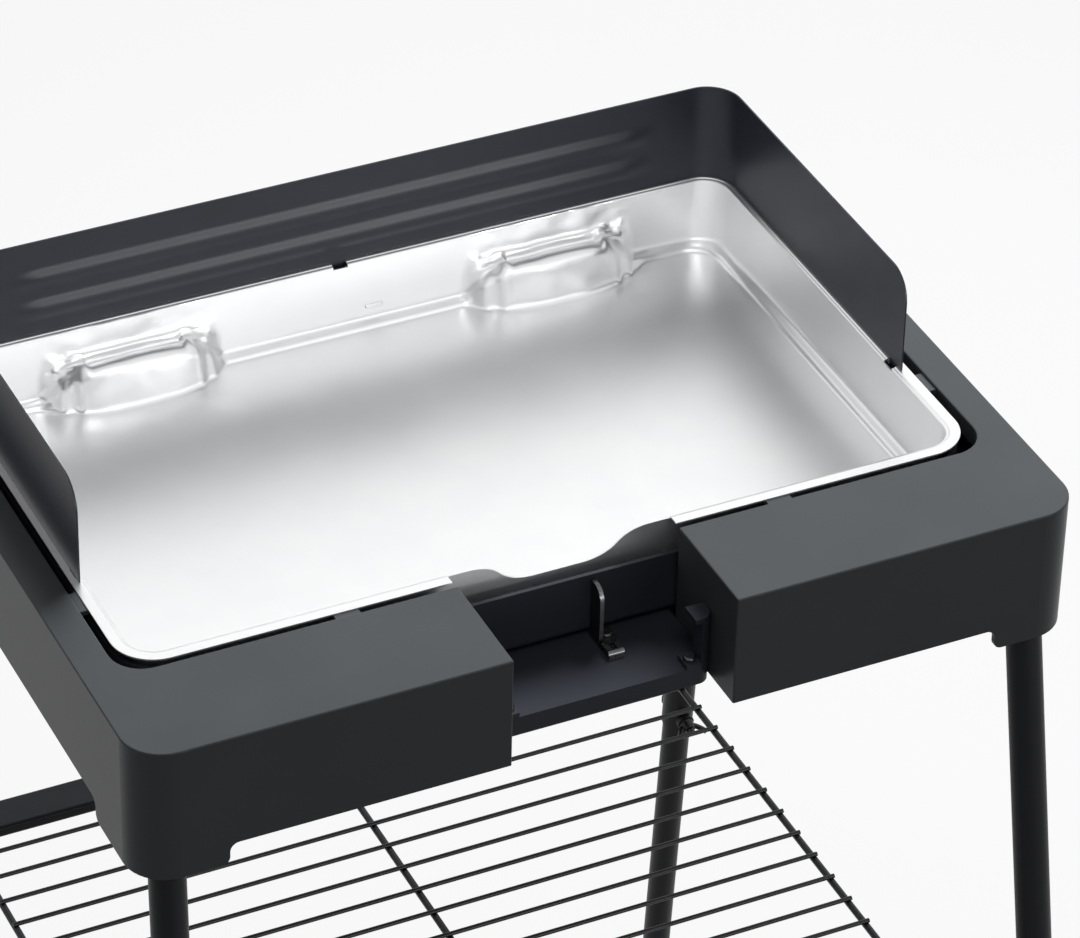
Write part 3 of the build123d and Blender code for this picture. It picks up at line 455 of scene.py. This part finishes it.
def finish_piece(form, name, body, slot, *nodes):
    """Make an object of a form in millimetres, hang it on the body that carries it, and hide the parts that it
    stands for.
    """
    bmesh.ops.scale(form, vec=(MM, MM, MM), verts=form.verts)
    for face in form.faces:
        face.smooth = True
    for edge in form.edges:
        edge.smooth = edge.calc_face_angle(0.0) < SHARP_ANGLE
    mesh = bpy.data.meshes.new(name)
    form.to_mesh(mesh)
    form.free()
    mesh.materials.append(FINISHES[slot])
    piece = bpy.data.objects.new(name, mesh)
    bpy.context.scene.collection.objects.link(piece)
    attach(piece, body)
    if nodes:
        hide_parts(*nodes)


# Water tray


def tray_places():
    """The places of the tray's columns: close together at the bosses, the dip and the notches."""
    core = tray_half - Vector((RIM_CORNER, RIM_CORNER))
    boss_in = BOSS_SPREAD - BOSS_ROOM
    boss_out = BOSS_SPREAD + BOSS_ROOM
    notch_y = NOTCH_SIDE_Y - tray_middle.y
    return {
        "front": places(-core.x, (-FLANGE_GAP, 14), (-DIP_ROOM, 4), (DIP_ROOM, 64), (FLANGE_GAP, 4),
                        (core.x, 14)),
        "back": places(-core.x, (-boss_out, 3), (-boss_in, 80), (-NOTCH_HALF, 9), (NOTCH_HALF, 3),
                       (boss_in, 9), (boss_out, 80), (core.x, 3)),
        "side": places(-core.y, (notch_y - NOTCH_HALF, 12), (notch_y + NOTCH_HALF, 3), (core.y, 20)),
    }


def straight_wall(end, steps):
    """The wall's straight part as inset and depth, from the mouth down to a depth."""
    return [(RIM_WIDTH + wall_slope * depth, depth) for depth in places(MOUTH_DROP, (end, steps))]


def wall_section():
    """The plain section as inset and depth: down the wall, over a small ledge and out on the floor."""
    foot = RIM_WIDTH + wall_slope * LEDGE_DEPTH
    ledge = [(foot + inset, LEDGE_DEPTH + down) for inset, down in LEDGE_LINE]
    run_out = [(foot + inset, TRAY_DEPTH - up) for inset, up in LEDGE_RUN_OUT]
    floor = [(inset, TRAY_DEPTH) for inset in places(foot + LEDGE_END, (FLOOR_START, 3))]
    keys = straight_wall(LEDGE_DEPTH - LEDGE_START, 11) + ledge + run_out + floor
    return soften([Vector(point) for point in keys], 2)


def boss_section(trough, rise):
    """A boss's section as inset and depth: a top with a trough of the given depth, a lip in front of
    it that is raised by a rise, a sloping front and a soft foot. It has as many points as the plain
    section."""
    top = TRAY_DEPTH - BOSS_HEIGHT
    low = top + trough
    back = TROUGH_BACK
    front = TROUGH_BACK + TROUGH_WIDTH
    edge = front + BOSS_TOP_WIDTH
    hollow = [
        (back - TROUGH_LAND, top), (back - TROUGH_EDGE, top + TROUGH_BACK_DROP - rise),
        (back + TROUGH_SIDE, low - TROUGH_ROUND), (back + TROUGH_FLOOR, low),
        (front - TROUGH_FLOOR, low), (front - TROUGH_SIDE, low - TROUGH_ROUND),
    ]
    lip = [
        (front + TROUGH_EDGE, top + LIP_DROP - rise), (front + LIP_WIDTH, top - rise),
        (edge, top + LIP_DROP - rise * LIP_SHARE), (edge + BOSS_BROW[0], top + BOSS_BROW[1]),
    ]
    slant = [(BOSS_FOOT + inset, top + down) for inset, down in BOSS_FRONT]
    foot = [(BOSS_FOOT + inset, TRAY_DEPTH - up) for inset, up in BOSS_FOOT_LINE]
    keys = straight_wall(top - BOSS_TOP_SOFT, 3) + hollow + lip + slant + foot + [(FLOOR_START, TRAY_DEPTH)]
    return soften([Vector(point) for point in keys], 2)


def boss_point(sections, step, along, across):
    """The inset and depth of a boss at a step of its section, at a distance along from its middle."""
    end = smooth_step(TROUGH_HALF - TROUGH_END, TROUGH_HALF + TROUGH_END, along)
    past = smooth_step(TROUGH_HALF + POST_START, TROUGH_HALF + POST_END, along)
    point = sections["trough"][step].lerp(sections["post"][step], end).lerp(sections["shoulder"][step], past)
    crumple_spot = Vector((across / CRUMPLE_ALONG, point.y / CRUMPLE_ACROSS, point.x / CRUMPLE_ACROSS))
    crumple = noise.noise(crumple_spot) * (CRUMPLE_LEAST + (1.0 - CRUMPLE_LEAST) * end)
    wave = noise.noise(Vector((across / WAVE_ALONG, point.y / WAVE_DOWN, WAVE_SEED)))
    top = TRAY_DEPTH - BOSS_HEIGHT
    below = smooth_step(top - FOLD_FADE, top + FOLD_FADE, point.y)
    fold = FOLD_DEPTH * past * below * math.sin(math.tau * (along - TROUGH_HALF) / FOLD_LENGTH)
    return point + Vector((CRUMPLE_IN * crumple + WAVE_DEPTH * wave + fold, CRUMPLE_DOWN * crumple))


def water_tray():
    """The tray, drawn from sheet: rings of the rounded rim are led down the wall and over the floor,
    the bosses push the back wall in, and the dip cuts the front wall down."""
    form = bmesh.new()
    edges, share, outward = rim_loop(form, tray_half, RIM_CORNER, tray_places(), CORNER_STEPS)
    top = tray_box[1].z
    wall = wall_section()
    sections = {
        "trough": boss_section(TROUGH_DEPTH, 0.0),
        "post": boss_section(POST_TROUGH, POST_RISE),
        "shoulder": boss_section(SHOULDER_TROUGH, SHOULDER_RISE),
    }
    dip = soften([Vector((side * x, y)) for side, x, y in (
        (-1, FLANGE_GAP, 0.0), (-1, DIP_TOP / 2, 0.0), (-1, DIP_LOW / 2, DIP_DEPTH), (-1, 0.0, DIP_DEPTH),
        (1, DIP_LOW / 2, DIP_DEPTH), (1, DIP_TOP / 2, 0.0), (1, FLANGE_GAP, 0.0))], 3)
    boss = soften([Vector(point) for point in (
        (0.0, 1.0), (BOSS_WIDTH / 2 - BOSS_END, 1.0), (BOSS_WIDTH / 2, 0.0), (BOSS_ROOM, 0.0))], 3)

    def place(v, inset, depth, corner, step):
        core = tray_half - Vector((inset + corner, inset + corner))
        x = v[share].x * core.x + v[outward].x * corner
        y = v[share].y * core.y + v[outward].y * corner
        if step is not None and v[outward].y > SAME_WAY:
            along = abs(abs(x) - BOSS_SPREAD)
            bow = min(along / (BOSS_WIDTH / 2 - BOSS_END), 1.0) ** 2
            push = height_on(boss, along) * (1.0 - BOSS_BOW * bow)
            if push > 0.0:
                point = Vector((inset, depth)).lerp(boss_point(sections, step, along, x), push)
                y -= point.x - inset
                depth = point.y
        if step is not None and v[outward].y < -SAME_WAY and abs(x) < FLANGE_GAP and depth < DIP_BOTTOM:
            lowered = height_on(dip, x)
            depth = DIP_BOTTOM - (DIP_BOTTOM - depth) * (DIP_BOTTOM - lowered) / DIP_BOTTOM
            y += wall_slope * (depth - (inset - RIM_WIDTH) / wall_slope)
        v.co = (tray_middle.x + x, tray_middle.y + y, top - depth)

    for v in form.verts:
        place(v, 0.0, 0.0, RIM_CORNER, None)
    for inset, depth in RIM_SECTION[1:]:
        edges, points = extrude_ring(form, edges)
        for v in points:
            place(v, inset, depth, RIM_CORNER - inset, None)
    mouth_corner = RIM_CORNER - RIM_WIDTH
    for step, (inset, depth) in enumerate(wall):
        edges, points = extrude_ring(form, edges)
        corner = mouth_corner + (FLOOR_CORNER - mouth_corner) * depth / TRAY_DEPTH
        for v in points:
            place(v, inset, depth, corner, step)
    for inset in places(FLOOR_START, (tray_half.y - FLOOR_CORNER - FLOOR_GAP, 7))[1:]:
        edges, points = extrude_ring(form, edges)
        for v in points:
            place(v, inset, TRAY_DEPTH, FLOOR_CORNER, None)
    bmesh.ops.contextual_create(form, geom=edges)

    bmesh.ops.delete(form, geom=[face for face in form.faces if tray_is_cut(face)], context="FACES")
    bmesh.ops.recalc_face_normals(form, faces=form.faces[:])
    if form.faces[-1].normal.z < 0:
        bmesh.ops.reverse_faces(form, faces=form.faces[:])
    bmesh.ops.solidify(form, geom=form.faces[:], thickness=SHEET)
    finish_piece(form, "pressed_tray", TRAY, "tray_aluminium", "water_tray")


def tray_is_cut(face):
    """Whether a face of the tray lies in the gap of the front rim or in a notch for a tang."""
    middle = face.calc_center_median()
    spot = middle - tray_middle
    top = tray_box[1].z
    hangs_from = top - max(v.co.z for v in face.verts)
    inset = min(tray_half.x - abs(spot.x), tray_half.y - abs(spot.y))
    rim_end = MOUTH_DROP / 2 + RIM_SECTION[-1][1] / 2
    front_gap = spot.y < 0 and abs(spot.x) < FLANGE_GAP and hangs_from < rim_end
    notch_line = NOTCH_START < inset < NOTCH_END and top - middle.z < NOTCH_DROP
    back_notch = spot.y > 0 and abs(spot.x) < NOTCH_HALF
    side_notch = abs(middle.y - NOTCH_SIDE_Y) < NOTCH_HALF and abs(spot.x) > tray_half.x - RIM_CORNER
    return front_gap or notch_line and (back_notch or side_notch)


def level_mark():
    """The plain raised tick on the back wall that shows how far to fill the tray."""
    form = bmesh.new()
    bmesh.ops.create_cube(form, size=1.0)
    bmesh.ops.scale(form, vec=(MARK_WIDTH, MARK_RISE, MARK_HEIGHT), verts=form.verts)
    bmesh.ops.bevel(form, geom=form.edges[:], offset=MARK_RISE * MARK_SOFT, affect="EDGES", segments=3,
                    profile=0.5, material=-1)
    inset = RIM_WIDTH + wall_slope * MARK_DEPTH + MARK_RISE * MARK_LIFT
    turn = Matrix.Rotation(math.radians(-WALL_DRAFT), 4, "X")
    spot = Vector((MARK_X, tray_box[1].y - inset, tray_box[1].z - MARK_DEPTH))
    bmesh.ops.transform(form, matrix=Matrix.Translation(spot) @ turn, verts=form.verts)
    finish_piece(form, "fill_level_mark", TRAY, "tray_aluminium")


# Wind shield


def wind_shield():
    """The shield, bent from one sheet: a U of edges is led up in rings. Two soft beads are pressed
    into its back panel, its front corners are round, and tangs go down into the rim's notches."""
    form = bmesh.new()
    outer = SHIELD_INSET - SHEET / 2
    half = tray_half - Vector((outer, outer))
    corner = RIM_CORNER - outer
    core = half - Vector((corner, corner))
    wing_end = WING_END_Y - tray_middle.y
    tang_y = NOTCH_SIDE_Y - tray_middle.y
    columns = {
        "front": places(-core.x, (core.x, 2)),
        "back": places(-core.x, (-BEAD_REACH, 4), (BEAD_FADE - BEAD_REACH, 10), (-TANG_HALF, 10),
                       (TANG_HALF, 2), (BEAD_REACH - BEAD_FADE, 10), (BEAD_REACH, 10), (core.x, 4)),
        "side": places(-core.y, (wing_end, 1), (tang_y - TANG_HALF, 6), (tang_y + TANG_HALF, 6),
                       (wing_end + NOSE_RADIUS, 3), (core.y, 10)),
    }
    edges, share, outward = rim_loop(form, half, corner, columns, CORNER_STEPS)
    for v in form.verts:
        v.co.x = v[share].x * core.x + v[outward].x * corner
        v.co.y = v[share].y * core.y + v[outward].y * corner
    front = [v for v in form.verts if v.co.y < wing_end - SAME]
    bmesh.ops.delete(form, geom=front, context="VERTS")
    foot = form.edges[:]
    bottom = tray_box[1].z

    def place(v, height):
        x, y = v.co.x, v.co.y
        if v[outward].y > SAME_WAY:
            fade = 1.0 - smooth_step(BEAD_REACH - BEAD_FADE, BEAD_REACH, abs(x))
            for bead in BEADS:
                away = min(abs(height - bead) / BEAD_HALF, 1.0)
                y -= BEAD_RISE * fade * (1.0 - away * away) ** 2
        past = wing_end + NOSE_RADIUS - y
        nose = SHIELD_HEIGHT - NOSE_RADIUS
        if past > 0.0 and height > nose:
            drop = NOSE_RADIUS - math.sqrt(max(NOSE_RADIUS ** 2 - past ** 2, 0.0))
            height -= drop * (height - nose) / NOSE_RADIUS
        v.co = (tray_middle.x + x, tray_middle.y + y, bottom + height)

    heights = {}
    edges = foot
    for height in places(0.0, (SHIELD_HEIGHT, SHIELD_STEPS))[1:]:
        edges, points = extrude_ring(form, edges)
        for v in points:
            heights[v] = height
    for v in form.verts:
        place(v, heights.get(v, 0.0))
    tangs = []
    for edge in foot:
        spot = (edge.verts[0].co + edge.verts[1].co) / 2
        if abs(spot.x) < TANG_HALF or abs(spot.y - NOTCH_SIDE_Y) < TANG_HALF:
            tangs.append(edge)
    points = extrude_ring(form, tangs)[1]
    bmesh.ops.translate(form, vec=(0, 0, -TANG_DEPTH), verts=points)
    bmesh.ops.recalc_face_normals(form, faces=form.faces[:])
    bmesh.ops.solidify(form, geom=form.faces[:], thickness=SHEET)
    finish_piece(form, "bent_wind_shield", SHIELD, "shield_enamel", "wind_shield")


# Wing nuts


def loft(form, rings, sides):
    """Lead a circle of edges through rings, each given as its middle and its two half axes, and close
    both ends."""
    points = bmesh.ops.create_circle(form, segments=sides, radius=1.0)["verts"]
    edges = list({edge for v in points for edge in v.link_edges})
    turn = form.verts.layers.float_vector.get("turn") or form.verts.layers.float_vector.new("turn")
    points = list({v for edge in edges for v in edge.verts})
    for v in points:
        v[turn] = v.co
    bmesh.ops.contextual_create(form, geom=edges)
    for step, (middle, across, up) in enumerate(rings):
        if step > 0:
            edges, points = extrude_ring(form, edges)
        for v in points:
            v.co = middle + across * v[turn].x + up * v[turn].y
    bmesh.ops.contextual_create(form, geom=edges)


def wing_rings(side):
    """The rings of one wing: a curved arm that rises from the hub, and the ball at its tip."""
    rings = []
    for step in range(ARM_STEPS + 1):
        share = step / ARM_STEPS
        middle = Vector((side * (ARM_START + (ARM_REACH - ARM_START) * share), 0.0,
                         NUT_HEIGHT / 2 + (ARM_RISE - NUT_HEIGHT / 2) * share ** ARM_CURVE))
        lean = Vector((-side * ARM_LEAN * share, 0.0, 1.0 - ARM_DIP * share)).normalized()
        thick = Vector((0.0, ARM_HALF + ARM_HALF_GAIN * share, 0.0))
        rings.append((middle, lean * (ARM_HEIGHT - ARM_HEIGHT_LOSS * share), thick))
    tip = rings[-1][0] + Vector((side * BALL_OUT, 0.0, BALL_UP))
    lean = rings[-1][1].normalized()
    way = lean.cross(Vector((0, side, 0))).normalized()
    for share in BALL_SHARES:
        reach = math.sqrt(1.0 - share * share) * BALL_RADIUS
        rings.append((tip + way * BALL_RADIUS * share, lean * reach, Vector((0.0, reach, 0.0))))
    return rings


def wing_nut(leg):
    """A cast wing nut: a hub and two curved arms with ball tips."""
    form = bmesh.new()
    profile = [(NUT_BORE, 0.0), (NUT_BASE, 0.0), (NUT_BASE, NUT_FOOT), (NUT_BASE - NUT_NECK_IN, NUT_NECK),
               (NUT_TOP, NUT_HEIGHT - NUT_EDGE), (NUT_TOP - NUT_EDGE, NUT_HEIGHT), (NUT_BORE, NUT_HEIGHT)]
    line = [form.verts.new((x, 0.0, z)) for x, z in profile]
    edges = [form.edges.new(pair) for pair in zip(line, line[1:] + line[:1])]
    bmesh.ops.spin(form, geom=line + edges, cent=(0, 0, 0), axis=(0, 0, 1), dvec=(0, 0, 0),
                   angle=math.tau, steps=NUT_SIDES, use_merge=True)
    for side in (-1, 1):
        loft(form, wing_rings(side), ARM_SIDES)
    bmesh.ops.recalc_face_normals(form, faces=form.faces[:])
    joint = next(j for j in frame["joints"] if j["child"] == f"wing_nut_{leg}")
    axis = Vector(joint["axis"]).normalized()
    sideways = Vector((1, 0, 0))
    sideways = (sideways - axis * sideways.dot(axis)).normalized()
    turn = Matrix((sideways, axis.cross(sideways), axis)).transposed().to_4x4()
    bmesh.ops.transform(form, matrix=Matrix.Translation(Vector(joint["pos_m"]) / MM) @ turn, verts=form.verts)
    finish_piece(form, f"wing_nut_cast_{leg}", f"wing_nut_{leg}", "black_hardware", f"wing_nut_{leg}")


# Stage: a pale floor, a white surround and soft light from above


def seen_directly(tree):
    """1 for a ray that shows the stage itself: from the camera, off a shiny surface or through glass."""
    path = add(tree, "ShaderNodeLightPath", {})
    seen = path.outputs["Is Camera Ray"]
    for kind in ("Is Glossy Ray", "Is Transmission Ray"):
        either = add(tree, "ShaderNodeMath", {"operation": "MAXIMUM"}, [(0, seen), (1, path.outputs[kind])])
        seen = either.outputs[0]
    return seen


def add_floor():
    """The pale floor. Seen directly it glows a little, so that it is nearly white and keeps the shadow."""
    form = bmesh.new()
    bmesh.ops.create_grid(form, x_segments=1, y_segments=1, size=FLOOR_HALF)
    sheet = bpy.data.meshes.new("floor")
    form.to_mesh(sheet)
    form.free()
    floor = bpy.data.objects.new("floor", sheet)
    bpy.context.scene.collection.objects.link(floor)

    made = bpy.data.materials.new("pale_floor")
    made.use_nodes = True
    tree = made.node_tree
    tree.nodes.remove(tree.nodes["Principled BSDF"])
    seen = seen_directly(tree)
    glow = add(tree, "ShaderNodeMath", {"operation": "MULTIPLY"}, [(0, seen)])
    glow.inputs[1].default_value = FLOOR_GLOW
    pale = add(tree, "ShaderNodeMapRange", {"To Min": FLOOR_SHADE, "To Max": FLOOR_PALE}, [("Value", seen)])
    matt = add(tree, "ShaderNodeBsdfDiffuse", {}, [("Color", pale.outputs["Result"])])
    white = add(tree, "ShaderNodeEmission", {"Color": WHITE, "Strength": 1.0})
    mix = add(tree, "ShaderNodeMixShader", {},
              [(0, glow.outputs[0]), (1, matt.outputs[0]), (2, white.outputs[0])])
    tree.links.new(mix.outputs[0], tree.nodes["Material Output"].inputs["Surface"])
    sheet.materials.append(made)


def add_surround():
    """A surround that is white where it is seen directly, and only a dim fill light elsewhere."""
    world = bpy.data.worlds.new("white_studio")
    bpy.context.scene.world = world
    world.use_nodes = True
    tree = world.node_tree
    dim = tree.nodes["Background"]
    dim.inputs["Color"].default_value = WHITE
    dim.inputs["Strength"].default_value = SURROUND_LIGHT
    white = add(tree, "ShaderNodeBackground", {"Color": WHITE, "Strength": 1.0})
    mix = add(tree, "ShaderNodeMixShader", {},
              [(0, seen_directly(tree)), (1, dim.outputs[0]), (2, white.outputs[0])])
    tree.links.new(mix.outputs[0], tree.nodes["World Output"].inputs["Surface"])


def add_lamp(name, place, size, watts, lit, mirrored):
    """A soft rectangular lamp, aimed at the body."""
    lamp = bpy.data.lights.new(name, "AREA")
    lamp.shape = "RECTANGLE"
    lamp.size, lamp.size_y = size
    lamp.energy = watts
    holder = bpy.data.objects.new(name, lamp)
    holder.location = place
    holder.rotation_mode = "QUATERNION"
    holder.rotation_quaternion = (Vector(LAMP_AIM) - Vector(place)).to_track_quat("-Z", "Y")
    holder.visible_diffuse = lit
    holder.visible_glossy = mirrored
    bpy.context.scene.collection.objects.link(holder)


def add_camera():
    azimuth, elevation = math.radians(CAMERA_AZIMUTH), math.radians(CAMERA_ELEVATION)
    level = math.cos(elevation)
    back = Vector((math.sin(azimuth) * level, -math.cos(azimuth) * level, math.sin(elevation)))
    aim = Vector((CAMERA_AIM_X, CAMERA_AIM_Y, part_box("housing_shell")[1].z))
    lens = bpy.data.cameras.new("camera")
    lens.lens = CAMERA_LENS
    lens.sensor_width = CAMERA_SENSOR
    holder = bpy.data.objects.new("camera", lens)
    holder.rotation_mode = "QUATERNION"
    straight = (-back).to_track_quat("-Z", "Y")
    roll = Matrix.Rotation(math.radians(CAMERA_ROLL), 3, "Z").to_quaternion()
    holder.rotation_quaternion = straight @ roll
    holder.location = aim + back * CAMERA_DISTANCE
    bpy.context.scene.collection.objects.link(holder)
    bpy.context.scene.camera = holder


water_tray()
level_mark()
wind_shield()
for end in ("front", "rear"):
    for side in ("left", "right"):
        wing_nut(f"{end}_{side}")
add_floor()
add_surround()
for lamp in LAMPS:
    add_lamp(*lamp)
add_camera()
bpy.context.scene.view_settings.view_transform = "Standard"
